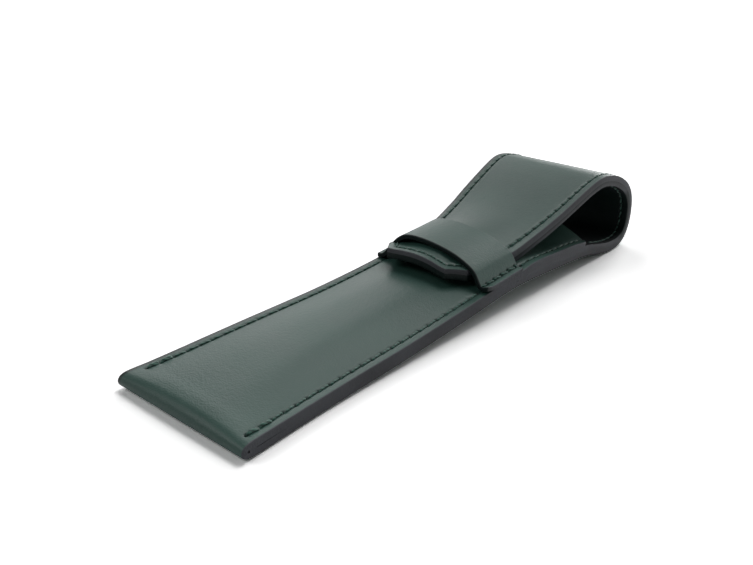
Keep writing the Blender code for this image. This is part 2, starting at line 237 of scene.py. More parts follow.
def walkLine(rows, step=0.1, samples=12000, smoothings=12):
    knots = np.array(rows, float)
    at = runningLength(np.hypot(*np.diff(knots[:, :2], axis=0).T) ** 0.5)
    curve = curveThrough(knots, at, np.linspace(0, at[-1], samples))
    length = runningLength(np.hypot(*np.diff(curve[:, :2], axis=0).T))
    even = np.arange(0, length[-1], step)
    line = np.column_stack([np.interp(even, length, column) for column in curve.T])
    tangent = np.gradient(line[:, :2], even, axis=0)
    for _ in range(smoothings):
        tangent[1:-1] = (tangent[:-2] + 2 * tangent[1:-1] + tangent[2:]) / 4
    tangent /= np.linalg.norm(tangent, axis=1)[:, None]
    return {"at": even, "line": line, "out": np.column_stack([tangent[:, 1], -tangent[:, 0]])}


strip = walkLine(stripWalk)
stripEnd = strip["at"][-1]
foldAt = strip["at"][np.argmin(strip["line"][:, 0])]
loopAt = strip["at"][np.argmax(strip["line"][:, 0])]


def walkAt(along, part):
    x = strip["line"][:, 0]
    at = strip["at"]
    inPart = {
        "front": at < foldAt,
        "back": (at > foldAt) & (at < loopAt),
        "flap": at > loopAt,
    }[part]
    return at[inPart][np.argmin(np.abs(x[inPart] - along))]


mouthAt = 0.0
mouthX = strip["line"][0, 0]
liningAt = walkAt(case["liningStartsAt"], "back")
farFromLoop = np.abs(strip["at"] - loopAt) > case["loopTopWithin"]
offLoopTop = np.where(farFromLoop, np.inf, np.abs(strip["line"][:, 1] - case["loopTopFrom"]))
cutPlaces = {
    "foot": walkAt(151.0, "back"),
    "back": walkAt(168.5, "back"),
    "top": strip["at"][np.argmin(offLoopTop)],
    "neck": walkAt(145.0, "flap"),
    "tongue": walkAt(108.0, "flap"),
    "tip": stripEnd,
}
print("strip", round(stripEnd, 1), {k: round(float(v), 1) for k, v in cutPlaces.items()})


def rowAt(u):
    return np.column_stack([np.interp(u, strip["at"], column) for column in strip["line"].T])


def acrossFor(y, u):
    row = rowAt(np.atleast_1d(u))
    half = np.where(np.asarray(y) < 0, row[:, 2], row[:, 3])
    wide, keep = case["blankHalfWidth"], case["sideKeepsShape"]
    edge = half - np.abs(y)
    inner = (half - keep) / (wide - keep)
    return np.sign(y) * np.where(edge < keep, wide - edge, np.abs(y) / inner)


def onStrip(u, v, h):
    row = rowAt(u)
    out = np.column_stack([np.interp(u, strip["at"], column) for column in strip["out"].T])
    half = np.where(v < 0, row[:, 2], row[:, 3])
    wide, keep = case["blankHalfWidth"], case["sideKeepsShape"]
    edge = wide - np.abs(v)
    y = np.sign(v) * np.where(edge < keep, half - edge, np.abs(v) * (half - keep) / (wide - keep))
    q = np.clip(np.abs(v) / (wide - row[:, 6]), 0, 1)
    domed = 1 - q**2
    rise = (1 - q) / pillow["flank"]
    ridge = pillow["ridge"]
    swell = pillow["flat"] * rise / (1 + rise**ridge) ** (1 / ridge) + pillow["round"] * domed
    pillowed = np.clip(row[:, 6] / pillow["fullEdge"], 0, 1)
    crown = row[:, 5] * (swell * pillowed + domed * (1 - pillowed))
    x = row[:, 0] + out[:, 0] * (h + crown)
    tilt = row[:, 4] * (y + row[:, 2]) / (row[:, 2] + row[:, 3])
    z = row[:, 1] + out[:, 1] * (h + crown) + tilt
    return np.column_stack([x + closedEndX, y, z + case["restsOnThread"]]) * mm


# Pared leather is thin where share is 0 and whole where it is 1.
def pared(thin, share):
    share = np.clip(share, 0, 1)
    return thin + (case["leather"] - thin) * share * share * (3 - 2 * share)


def frontThickness(u):
    return pared(case["thinAtMouth"], (u - mouthAt) / case["paredFromMouth"])


def tipThickness(u):
    return pared(case["thinAtTip"], (stripEnd - case["thinTipLength"] - u) / case["paredFromTip"])


def spaceUnderFront(u):
    x, up = rowAt(u)[:, :2].T
    front = strip["at"] < foldAt
    frontX, frontUp, frontU = (
        column[front][::-1] for column in (strip["line"][:, 0], strip["line"][:, 1], strip["at"])
    )
    under = np.interp(x, frontX, frontUp) - frontThickness(np.interp(x, frontX, frontU))
    return under - up + case["layersOverlap"]


# The back panel fills the space under the front panel up to the lining, and from there the lining does.
def panelThickness(u):
    x = rowAt(u)[:, 0]
    whole, over = case["leather"], case["backFillsOver"]
    beforeLining = np.clip((case["liningStartsAt"] - x) / over, 0, 1)
    alone = beforeLining * np.clip((x - case["backFillsFrom"]) / over, 0, 1)
    back = whole + (np.clip(spaceUnderFront(u), whole, None) - whole) * alone
    atFold = case["thickerAtFold"] * np.exp(-(((u - foldAt) / case["foldReach"]) ** 2))
    return np.where(u > foldAt, back, frontThickness(u)) + atFold


def liningThickness(u):
    space = spaceUnderFront(u) - case["leather"] + case["layersOverlap"]
    fill = np.clip(space, case["liningAtLeast"], None)
    pastMouth = np.clip((rowAt(u)[:, 0] - mouthX) / case["liningWholeOver"], 0, 1)
    return fill + (case["lining"] - fill) * pastMouth


def liningTopAt(u):
    return -(tipThickness(u) - case["layersOverlap"])


def innerFaceAt(u):
    return float(liningTopAt(u)) - case["lining"]


def edit():
    bpy.ops.object.mode_set(mode="EDIT")


def leaveEdit():
    bpy.ops.object.mode_set(mode="OBJECT")


def clearSelection():
    if bpy.context.object and bpy.context.object.mode != "OBJECT":
        leaveEdit()
    bpy.ops.object.select_all(action="DESELECT")


def pointsOf(piece):
    points = np.empty(len(piece.data.vertices) * 3, np.float32)
    piece.data.vertices.foreach_get("co", points)
    return points.reshape(-1, 3).astype(float)


def setPoints(piece, points):
    piece.data.vertices.foreach_set("co", np.ascontiguousarray(points, np.float32).ravel())
    piece.data.update()


def smoothTo(piece, degrees=40):
    clearSelection()
    piece.select_set(True)
    bpy.context.view_layer.objects.active = piece
    bpy.ops.object.shade_smooth_by_angle(angle=math.radians(degrees))


def faceOutwards():
    edit()
    bpy.ops.mesh.select_all(action="SELECT")
    bpy.ops.mesh.normals_make_consistent(inside=False)
    leaveEdit()


# An extrusion lists its new faces in another order in each run.
def sortFaces(piece):
    mesh = bmesh.new()
    mesh.from_mesh(piece.data)
    base = len(mesh.verts)

    def rank(face):
        return sum(i * base**place for place, i in enumerate(sorted(v.index for v in face.verts)))

    mesh.faces.sort(key=rank)
    mesh.to_mesh(piece.data)
    mesh.free()


def joinAll(pieces, name):
    clearSelection()
    for piece in pieces:
        piece.select_set(True)
    bpy.context.view_layer.objects.active = pieces[0]
    if len(pieces) > 1:
        bpy.ops.object.join()
    piece = bpy.context.object
    piece.name = piece.data.name = name
    return piece


def nodeTree(name):
    material = bpy.data.materials.new(name)
    material.use_nodes = True
    nodes = material.node_tree.nodes
    links = material.node_tree.links
    shader = nodes["Principled BSDF"]
    return material, nodes, links, shader


def addNode(nodes, kind, values):
    node = nodes.new(kind)
    for socket, value in values.items():
        node.inputs[socket].default_value = value
    return node


def ramp(nodes, stops):
    node = nodes.new("ShaderNodeValToRGB")
    while len(node.color_ramp.elements) < len(stops):
        node.color_ramp.elements.new(0.5)
    for element, (place, colour) in zip(node.color_ramp.elements, stops):
        element.position = place
        element.color = (*colour, 1)
    return node


def fade(nodes, links, source, reach, ends):
    sockets = ("From Min", "From Max", "To Min", "To Max")
    node = addNode(nodes, "ShaderNodeMapRange", dict(zip(sockets, (*reach, *ends))))
    links.new(source, node.inputs["Value"])
    return node


def bumpFrom(nodes, links, shader, height, strength, depth):
    bump = addNode(nodes, "ShaderNodeBump", {"Strength": strength, "Distance": depth})
    links.new(height, bump.inputs["Height"])
    links.new(bump.outputs["Normal"], shader.inputs["Normal"])


# the near-black that the seamShade attribute mixes into the leather: painted shade in the stitch holes and
# furrows, at the strap's left rim and corner and between the layers, and the darker lining edges and far rim
paintedShadeAndDarkEdgeColour = (0.002, 0.009, 0.008, 1)
grainDepth = 0.00006
twistDepth = 0.0001


def leatherFinish(name, dark, light, roughness, grain, shine):
    material, nodes, links, shader = nodeTree(name)
    place = nodes.new("ShaderNodeTexCoord")
    cloud = addNode(nodes, "ShaderNodeTexNoise", {"Scale": 55, "Detail": 5})
    pores = addNode(nodes, "ShaderNodeTexVoronoi", {"Scale": 2300})
    fine = addNode(nodes, "ShaderNodeTexNoise", {"Scale": 900, "Detail": 6})
    for texture in (cloud, pores, fine):
        links.new(place.outputs["Object"], texture.inputs["Vector"])
    tint = ramp(nodes, [(0.35, dark), (0.65, light)])
    links.new(cloud.outputs["Fac"], tint.inputs["Fac"])
    # the seamShade attribute carries the painted shade and the darker edges into the base colour
    nearSeam = nodes.new("ShaderNodeAttribute")
    nearSeam.attribute_name = "seamShade"
    shaded = nodes.new("ShaderNodeMix")
    shaded.data_type = "RGBA"
    links.new(nearSeam.outputs["Fac"], shaded.inputs["Factor"])
    links.new(tint.outputs["Color"], shaded.inputs["A"])
    shaded.inputs["B"].default_value = paintedShadeAndDarkEdgeColour
    links.new(shaded.outputs["Result"], shader.inputs["Base Color"])
    both = addNode(nodes, "ShaderNodeMath", {1: 0.45})
    both.operation = "MULTIPLY_ADD"
    links.new(pores.outputs["Distance"], both.inputs[0])
    links.new(fine.outputs["Fac"], both.inputs[2])
    bumpFrom(nodes, links, shader, both.outputs["Value"], grain, grainDepth)
    polish = fade(nodes, links, cloud.outputs["Fac"], (0, 1), (roughness - 0.05, roughness + 0.06))
    links.new(polish.outputs["Result"], shader.inputs["Roughness"])
    shader.inputs["Specular IOR Level"].default_value = shine
    return material


outerLook = ((0.027, 0.074, 0.060), (0.035, 0.090, 0.073), 0.44, 1.0, 0.55)
greenLeather = leatherFinish("greenLeather", *outerLook)
strapLeather = leatherFinish("strapLeather", *outerLook)
edgePaint = leatherFinish("edgePaint", (0.055, 0.059, 0.066), (0.088, 0.094, 0.106), 0.5, 1.0, 0.25)
fleshSide = leatherFinish("fleshSide", (0.006, 0.009, 0.009), (0.012, 0.017, 0.016), 0.8, 1.0, 0.2)
darkLining = leatherFinish("darkLining", (0.003, 0.006, 0.007), (0.007, 0.012, 0.013), 0.6, 0.6, 0.25)


def threadFinish(name, dark, light):
    material, nodes, links, shader = nodeTree(name)
    place = nodes.new("ShaderNodeTexCoord")
    twist = addNode(nodes, "ShaderNodeTexWave", {"Scale": 420, "Distortion": 1.2})
    twist.bands_direction = "DIAGONAL"
    links.new(place.outputs["Object"], twist.inputs["Vector"])
    tint = ramp(nodes, [(0.1, dark), (0.7, light)])
    links.new(twist.outputs["Fac"], tint.inputs["Fac"])
    links.new(tint.outputs["Color"], shader.inputs["Base Color"])
    bumpFrom(nodes, links, shader, twist.outputs["Fac"], 0.5, twistDepth)
    shader.inputs["Roughness"].default_value = 0.55
    shader.inputs["Sheen Weight"].default_value = 0.2
    return material


greenThread = threadFinish("greenThread", (0.008, 0.045, 0.033), (0.05, 0.15, 0.115))

# top face, cut edge, under face
finishes = {
    "leather": (greenLeather, edgePaint, fleshSide),
    "lining": (fleshSide, edgePaint, darkLining),
    "strap": (strapLeather, edgePaint, fleshSide),
}
cutEdge, underFace = 1, 2

# where a blank is cut lengthwise: wide apart in the middle, and close at the seam and the cut edge
sideCuts = [
    0, 3, 5, 7, 8.5, 10, 11.2, 12.2, 13.2, 14.1, 15.0, 15.8, 16.4, 16.8, 17.05, 17.25,
    17.42, 17.58, 17.75, 17.95, 18.2, 18.6, 19.1, 19.3, 19.6,
]


def flatGrid(name, start, end, middle, width, rows, columns):
    clearSelection()
    bpy.ops.mesh.primitive_grid_add(x_subdivisions=rows, y_subdivisions=columns, size=1)
    piece = bpy.context.object
    piece.name = piece.data.name = name
    edit()
    bpy.ops.transform.resize(value=(end - start, width, 1))
    bpy.ops.transform.translate(value=((start + end) / 2, middle, 0))
    return piece


def giveWall(piece, kind, thickness):
    leaveEdit()
    for material in finishes[kind]:
        piece.data.materials.append(material)
    wall = piece.modifiers.new("wall", "SOLIDIFY")
    wall.thickness = thickness
    wall.offset = -1
    wall.material_offset = underFace
    wall.material_offset_rim = cutEdge
    bpy.ops.object.modifier_apply(modifier="wall")


def leatherBlank(name, kind, start, end, rowStep, corners):
    rows = max(2, round((end - start) / rowStep))
    piece = flatGrid(name, start, end, 0, 2 * case["blankHalfWidth"], rows, 1)
    for cut in sideCuts:
        for side in {cut, -cut}:
            bpy.ops.mesh.select_all(action="SELECT")
            bpy.ops.mesh.bisect(plane_co=(0, side, 0), plane_no=(0, 1, 0))
    for place, direction in corners:
        bpy.ops.mesh.select_all(action="SELECT")
        bpy.ops.mesh.bisect(plane_co=place, plane_no=direction, clear_outer=True)
    giveWall(piece, kind, case[kind])
    return piece


def roundCutEdges(piece, keepFlatAt=(), level=0.0, width=case["cutEdgeRound"]):
    bpy.context.view_layer.objects.active = piece
    edit()
    bpy.ops.mesh.select_all(action="DESELECT")
    bpy.ops.mesh.select_mode(type="EDGE")
    bpy.ops.mesh.edges_select_sharp(sharpness=math.radians(50))
    leaveEdit()
    points = pointsOf(piece)
    for edge in piece.data.edges:
        if edge.select:
            a, b = points[edge.vertices[0]], points[edge.vertices[1]]
            for flat in keepFlatAt:
                if abs(a[0] - flat) < onLevel and abs(b[0] - flat) < onLevel:
                    edge.select = False
            if level is not None and max(abs(a[2] - level), abs(b[2] - level)) > onLevel:
                edge.select = False
    edit()
    bpy.ops.mesh.bevel(offset=width, segments=2, affect="EDGES", material=cutEdge)
    leaveEdit()


def furrowAt(away):
    return seam["furrowDepth"] * np.exp(-((away / seam["furrowWidth"]) ** 2))


def pitAt(away):
    return seam["holeDepth"] * np.exp(-((away / seam["holeWidth"]) ** 2))


def press(points, sunken, lines, holes):
    flat = points[:, :2]
    near = np.full(len(points), 1e9)
    for a, b in lines:
        a, b = np.array(a, float), np.array(b, float)
        t = np.clip(((flat - a) @ (b - a)) / ((b - a) @ (b - a)), 0, 1)
        near = np.minimum(near, np.linalg.norm(flat - (a + t[:, None] * (b - a)), axis=1))
    sink = furrowAt(near)
    inOrder = holes[np.argsort(holes[:, 0])]
    for side in sides:
        group = inOrder[np.sign(inOrder[:, 1]) == side]
        if not len(group):
            continue
        last = len(group) - 1
        i = np.clip(np.searchsorted(group[:, 0], flat[:, 0]), min(1, last), last)
        for j in (i - 1, i):
            sink = np.maximum(sink, pitAt(np.linalg.norm(flat - group[j], axis=1)))
    return np.where(sunken, sink, 0.0)


# the deeper a point is sunk, the more dark colour it gets: painted shade in the stitch holes and the furrow;
# the edge and rim darkening joins it
def shadeSeam(piece, sink, also):
    sunken = np.clip(np.abs(sink) / darkened["fullSink"], 0, 1) ** darkened["sinkPower"]
    layer = piece.data.attributes.new("seamShade", "FLOAT", "POINT")
    layer.data.foreach_set("value", np.maximum(sunken, also).astype(np.float32))


# Where the thread goes through, along the walk and across it.
holeX = {
    -1: np.arange(seam["firstNear"], seam["endsBefore"], seam["pitch"]),
    1: np.arange(seam["firstFar"], seam["endsBefore"], seam["pitch"]),
}
seamV = case["blankHalfWidth"] - seam["inset"]


def holesOn(part):
    return {
        side: np.array([(walkAt(x, part), side * seamV) for x in holeX[side]]) for side in sides
    }


frontHoles = holesOn("front")
backHoles = holesOn("back")

# The thread turns along the cut corners and straight across the tip.
tip = {"cornerAlong": 5.5, "cornerIn": 3.4, "stitches": 5}
cornerTurn = math.atan2(tip["cornerIn"], tip["cornerAlong"])
tipTurnU = stripEnd - tip["cornerAlong"] - seam["inset"] * math.tan(cornerTurn / 2)
tipLineU = stripEnd - seam["inset"]
tipLineEdge = tip["cornerIn"] + seam["inset"] / math.cos(cornerTurn) - seam["inset"] * math.tan(cornerTurn)
tipLineV = case["blankHalfWidth"] - tipLineEdge


def sideHoles(side):
    start = backHoles[side][-1][0]
    run = tipTurnU - start
    count = round(run / seam["pitch"])
    return np.array([(start + run * i / count, side * seamV) for i in range(1, count + 1)])


flapHoles = {side: sideHoles(side) for side in sides}


def tipHoles():
    nearHalf, farHalf = rowAt(np.array([tipLineU]))[0, 2:4]
    nearY, farY = tipLineEdge - nearHalf, farHalf - tipLineEdge
    count = tip["stitches"]
    across = [nearY + (farY - nearY) * i / count for i in range(count + 1)]
    line = [(tipLineU, float(acrossFor(y, tipLineU)[0])) for y in across]
    halfU, halfV = tipTurnU + (tipLineU - tipTurnU) / 2, (seamV + tipLineV) / 2
    return [(tipTurnU, -seamV), (halfU, -halfV)] + line + [(halfU, halfV), (tipTurnU, seamV)]


tipPath = tipHoles()
allHoles = np.concatenate(
    [holes[side] for holes in (frontHoles, backHoles, flapHoles) for side in sides] + [np.array(tipPath)]
)


def pairs(holes):
    return [(tuple(a), tuple(b)) for a, b in zip(holes[:-1], holes[1:])]


def furrowLines(u0, u1):
    lines = []
    for side in sides:
        across = side * seamV
        lines.append(((mouthAt - 1, across), (frontHoles[side][0][0], across)))
        lines.append(((backHoles[side][0][0], across), (tipTurnU, across)))
    lines += pairs(tipPath)
    return [(a, b) for a, b in lines if max(a[0], b[0]) > u0 - 1 and min(a[0], b[0]) < u1 + 1]


# the lining's cut edge takes the near-black lining finish at the tongue's tip: its own dark edge and partly
# painted shade
def darkenTipRim(piece):
    for face in piece.data.polygons:
        atTip = face.center.x > stripEnd - darkened["liningTipRim"]
        if face.material_index == cutEdge and atTip and abs(face.normal.z) < 0.9:
            face.material_index = underFace


# The lining's cut edge is darker round the loop's back and at the tip, at the tip partly as painted shade.
# A dark line between the two layers along the flap is the glue joint and painted shade of the gap between
# them. The outer leather is darker at its far rim.
def edgeShade(kind, u, v, t):
    if kind == "leather":
        return darkened["farRim"] * np.clip((v - darkened["farRimFrom"]) / darkened["farRimFade"], 0, 1)
    atBack = np.clip((rowAt(u)[:, 0] - darkened["loopBackFrom"]) / darkened["edgeFade"], 0, 1)
    atTip = np.clip((u - stripEnd + darkened["tipLength"]) / darkened["edgeFade"], 0, 1)
    starts = np.clip((u - cutPlaces["top"] - darkened["glueGapShadeStarts"]) / darkened["glueGapShadeStartFade"], 0, 1)
    stops = np.clip((stripEnd - darkened["glueGapShadeStopsBefore"] - u) / darkened["glueGapShadeStopFade"], 0, 1)
    atEdge = (t > -onLevel) * (np.abs(v) > darkened["glueGapShadeOutside"])
    return np.maximum(np.maximum(atBack, atTip), darkened["glueGapShade"] * (starts * stops) * atEdge)


def layPiece(piece, kind, thicknessAt=None):
    points = pointsOf(piece)
    u, v, t = points.T
    lines = furrowLines(u.min(), u.max())
    holes = allHoles[(allHoles[:, 0] > u.min() - 2) & (allHoles[:, 0] < u.max() + 2)]
    if kind == "leather":
        top, sink = 0.0, -press(points, t > -onLevel, lines, holes)
    else:
        top, sink = liningTopAt(u), press(points, t < onLevel - case[kind], lines, holes)
    shadeSeam(piece, sink, edgeShade(kind, u, v, t))
    if thicknessAt:
        t = t * thicknessAt(u) / case[kind]
    setPoints(piece, onStrip(u, v, top + t + sink))


def stripPiece(name, kind, start, end, rowStep, flats, corners=(), thicknessAt=None):
    piece = leatherBlank(name, kind, start, end, rowStep, corners)
    if kind == "leather":
        roundCutEdges(piece, keepFlatAt=flats)
    else:
        roundCutEdges(piece, keepFlatAt=flats, level=-case["lining"], width=case["liningEdgeRound"])
    layPiece(piece, kind, thicknessAt)
    return piece


def bodyPiece(piece, bodies, nodes):
    if len(bodies) == 1:
        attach(piece, bodies[0])
    else:
        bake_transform(piece)
    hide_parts(*nodes)


def sidePlace(x, z):
    return ((x + closedEndX) * mm, 0.0, z * mm)


lengths = [
    {"name": "Foot", "from": "foot", "to": "back", "bodies": ("case", "loop_foot"),
     "start": sidePlace(151.5, 0), "end": sidePlace(167.5, 0), "node": "loop_foot"},
    {"name": "Back", "from": "back", "to": "top", "bodies": ("loop_foot", "loop_back"),
     "start": sidePlace(169.5, 0), "end": sidePlace(179.0, 11.0), "node": "loop_back"},
    {"name": "Top", "from": "top", "to": "neck", "bodies": ("loop_back", "loop_top"),
     "start": sidePlace(178.0, 14.5), "end": sidePlace(148.0, 26.0), "node": "loop_top"},
    {"name": "Neck", "from": "neck", "to": "tongue", "bodies": ("loop_top", "tongue"),
     "start": sidePlace(143.0, 0), "end": sidePlace(109.5, 0), "node": "neck"},
    {"name": "Tongue", "from": "tongue", "to": "tip", "bodies": ("tongue",),
     "start": None, "end": None, "node": "tongue"},
]


def tipCorners():
    direction = Vector((tip["cornerIn"], tip["cornerAlong"], 0)).normalized()
    across = case["blankHalfWidth"] - tip["cornerIn"]
    return [((stripEnd, side * across, 0), (direction.x, side * direction.y, 0)) for side in sides]


def mouthCorners():
    cuts = []
    radius = case["mouthCorner"]
    for side in sides:
        centre = (mouthAt + radius, side * (case["blankHalfWidth"] - radius))
        for degrees in (12, 28, 45, 62, 78):
            a = math.radians(degrees)
            direction = (-math.cos(a), side * math.sin(a), 0)
            place = (centre[0] + direction[0] * radius, centre[1] + direction[1] * radius, 0)
            cuts.append((place, direction))
    return cuts


footAt = cutPlaces["foot"]
pocket = stripPiece(
    "pocketLeather", "leather", mouthAt, footAt, case["rowStep"], (footAt,), mouthCorners(), panelThickness
)
smoothTo(pocket)
bodyPiece(pocket, ("case",), ("pocket_leather",))
print("pocket leather", len(pocket.data.polygons))

lining = stripPiece(
    "pocketLining", "lining", liningAt, footAt, case["rowStep"] * 2, (footAt,), (), liningThickness
)
smoothTo(lining)
bodyPiece(lining, ("case",), ("pocket_lining",))

for part in lengths:
    u0, u1 = cutPlaces[part["from"]], cutPlaces[part["to"]]
    atTip = part["to"] == "tip"
    corners = tipCorners() if atTip else ()
    step = case["tipRowStep"] if atTip else case["rowStep"]
    flats = (u0,) if atTip else (u0, u1)
    nodeName = part["node"]
    leatherNode, liningNode = f"{nodeName}_leather", f"{nodeName}_lining"
    outer = stripPiece(f"loop{part['name']}Leather", "leather", u0, u1, step, flats, corners, tipThickness)
    smoothTo(outer)
    bodyPiece(outer, part["bodies"], (leatherNode,))
    inner = stripPiece(f"loop{part['name']}Lining", "lining", u0, u1, step, flats, corners)
    if atTip:
        darkenTipRim(inner)
    smoothTo(inner)
    bodyPiece(inner, part["bodies"], (liningNode,))
    print(part["name"], len(outer.data.polygons), len(inner.data.polygons))

strap = {
    "left": 88.0,
    "right": 106.6,
    "thickness": 1.35,
    "edgeRound": 0.28,
    "rowStep": 0.3,
    "columns": 46,
    "slopeOver": 0.15,
    "cornerCurl": 0.8,
    "curlAcross": 1.6,
    "curlAlong": 2.2,
    "nearSeam": 2.1,
    "farSeam": 1.9,
    "holesInside": 0.3,
    "threadInside": 0.4,
    "leftRimShade": 0.85,
    "cornerShade": 0.9,
    "cornerShadeOver": 2.4,
}
# across, up at the left edge, up at the right edge, of the strap's outer face
strapWalk = [
    (-19.6, 9.3, 10.55),
    (-18.6, 9.3, 10.6),
    (-17.6, 9.45, 10.85),
    (-16.9, 10.15, 11.8),
    (-16.2, 11.25, 12.9),
    (-15.2, 12.8, 14.1),
    (-13.8, 14.0, 15.0),
    (-12.0, 15.0, 15.9),
    (-8.6, 16.4, 17.1),
    (-4.0, 17.5, 18.1),
    (0.2, 18.1, 18.6),
    (4.0, 18.35, 18.8),
    (7.4, 18.2, 18.7),
    (9.9, 17.6, 18.35),
    (12.0, 16.2, 17.6),
    (13.9, 14.1, 16.2),
    (15.6, 11.9, 13.9),
    (16.9, 10.4, 11.9),
    (18.0, 9.8, 11.25),
    (19.1, 9.7, 11.15),
]


def strapAcross(samples=3000):
    knots = np.array(strapWalk, float)
    at = runningLength(np.hypot(*np.diff(knots[:, :2], axis=0).T))
    fine = np.linspace(0, at[-1], samples)
    return fine, curveThrough(knots, at, fine)


strapAt, strapCurve = strapAcross()
strapLength = strapAt[-1]
strapSeam = {-1: strap["nearSeam"], 1: strapLength - strap["farSeam"]}


def strapRow(u, share):
    across, atLeft, atRight = (np.interp(u, strapAt, column) for column in strapCurve.T)
    return across, atLeft + (atRight - atLeft) * share


def onStrap(u, v, h):
    share = np.clip((v - strap["left"]) / (strap["right"] - strap["left"]), -0.2, 1.2)
    across, up = strapRow(u, share)
    aheadAcross, aheadUp = strapRow(u + strap["slopeOver"], share)
    behindAcross, behindUp = strapRow(u - strap["slopeOver"], share)
    rise, run = aheadUp - behindUp, aheadAcross - behindAcross
    size = np.hypot(rise, run)
    fromLeft = (v - strap["left"]) / strap["curlAlong"]
    curl = strap["cornerCurl"] * np.exp(-((u / strap["curlAcross"]) ** 2)) * np.exp(-(fromLeft**2))
    x = v + closedEndX
    y = across - rise / size * h
    z = up + run / size * h + curl + case["restsOnThread"]
    return np.column_stack([x, y, z]) * mm


def makeStrap():
    left, right = strap["left"], strap["right"]
    rows = round(strapLength / strap["rowStep"])
    piece = flatGrid("keeperStrap", 0, strapLength, (right + left) / 2, right - left, rows, strap["columns"])
    giveWall(piece, "strap", strap["thickness"])
    # the strap's left cut edge takes the dark flesh-side finish as painted shade, since that edge lies in
    # shadow
    for face in piece.data.polygons:
        if face.material_index == cutEdge and face.center.y < left + 0.01:
            face.material_index = underFace
    roundCutEdges(piece, level=None, width=strap["edgeRound"])
    u, v, t = pointsOf(piece).T
    sink = furrowAt(np.minimum(np.abs(u - strapSeam[-1]), np.abs(u - strapSeam[1])))
    for side in sides:
        for x in holeX[side]:
            if left - 1 < x < right + 1:
                sink = np.maximum(sink, pitAt(np.hypot(v - x, u - strapSeam[side])))
    sink = np.where(t > -onLevel, sink, 0)
    # painted shade on the strap's left rim and on its curled near-left corner
    leftRimPaintedShade = strap["leftRimShade"] * np.clip((left + 0.35 - v) / 0.1, 0, 1)
    cornerPaintedShade = strap["cornerShade"] * np.exp(-(((v - left) / strap["cornerShadeOver"]) ** 2)) * (u < 0.4)
    shadeSeam(piece, sink, np.maximum(leftRimPaintedShade, cornerPaintedShade))
    setPoints(piece, onStrap(u, v, t - sink))
    faceOutwards()
    smoothTo(piece)
    bodyPiece(piece, ("case",), ("keeper_strap",))


makeStrap()
print("strap")


def oneStitch():
    clearSelection()
    bpy.ops.mesh.primitive_cylinder_add(
        vertices=6,
        radius=seam["threadRadius"],
        depth=seam["pitch"] - seam["bodyShorterBy"],
        rotation=(0, math.radians(90), 0),
    )
    piece = bpy.context.object
    piece.name = "stitch"
    bpy.ops.object.transform_apply(location=True, rotation=True, scale=True)
    edit()
    bpy.ops.mesh.select_all(action="SELECT")
    bpy.ops.mesh.bisect(plane_co=(0, 0, 0), plane_no=(1, 0, 0))
    for side in sides:
        for along, down, size in seam["endSteps"]:
            bpy.ops.mesh.select_mode(type="FACE")
            bpy.ops.mesh.select_all(action="DESELECT")
            leaveEdit()
            ends = [p for p in piece.data.polygons if len(p.vertices) == 6 and p.center.x * side > 0]
            ends[0].select = True
            edit()
            bpy.ops.mesh.extrude_region_move(TRANSFORM_OT_translate={"value": (side * along, 0, down)})
            bpy.ops.transform.resize(value=(size, size, size))
    leaveEdit()
    sortFaces(piece)
    points = pointsOf(piece)
    points[:, 2] += seam["arch"] * (1 - (points[:, 0] / seam["archReach"]) ** 2)
    setPoints(piece, points)
    return piece


stitch = oneStitch()
stitchPoints = pointsOf(stitch)
print("stitch", len(stitch.data.polygons), stitchPoints.min(0), stitchPoints.max(0))


# Each place holds the two holes, the stitch's lean and height, and how much thicker it is if it is.
def sewRun(name, places, onto, under=False):
    copies = []
    for a, b, lean, height, *thick in places:
        copy = stitch.copy()
        copy.data = stitch.data.copy()
        bpy.context.scene.collection.objects.link(copy)
        a, b = np.array(a, float), np.array(b, float)
        middle = (a + b) / 2
        turn = math.atan2(b[1] - a[1], b[0] - a[0]) + math.radians(lean)
        points = stitchPoints.copy()
        points[:, 0] *= np.linalg.norm(b - a) / seam["pitch"]
        points[:, 1:] *= thick[0] if thick else 1.0
        points[:, 2] *= -1.0 if under else 1.0
        x = middle[0] + points[:, 0] * math.cos(turn) - points[:, 1] * math.sin(turn)
        y = middle[1] + points[:, 0] * math.sin(turn) + points[:, 1] * math.cos(turn)
        setPoints(copy, np.column_stack([x, y, points[:, 2] + height]))
        copies.append(copy)
    run = joinAll(copies, name)
    setPoints(run, onto(*pointsOf(run).T))
    return run


def finishSeam(piece):
    faceOutwards()
    piece.data.materials.clear()
    piece.data.materials.append(greenThread)
    smoothTo(piece, 60)


onTop = -seam["sunkOnTop"]
underneath = -seam["sunkUnderneath"]


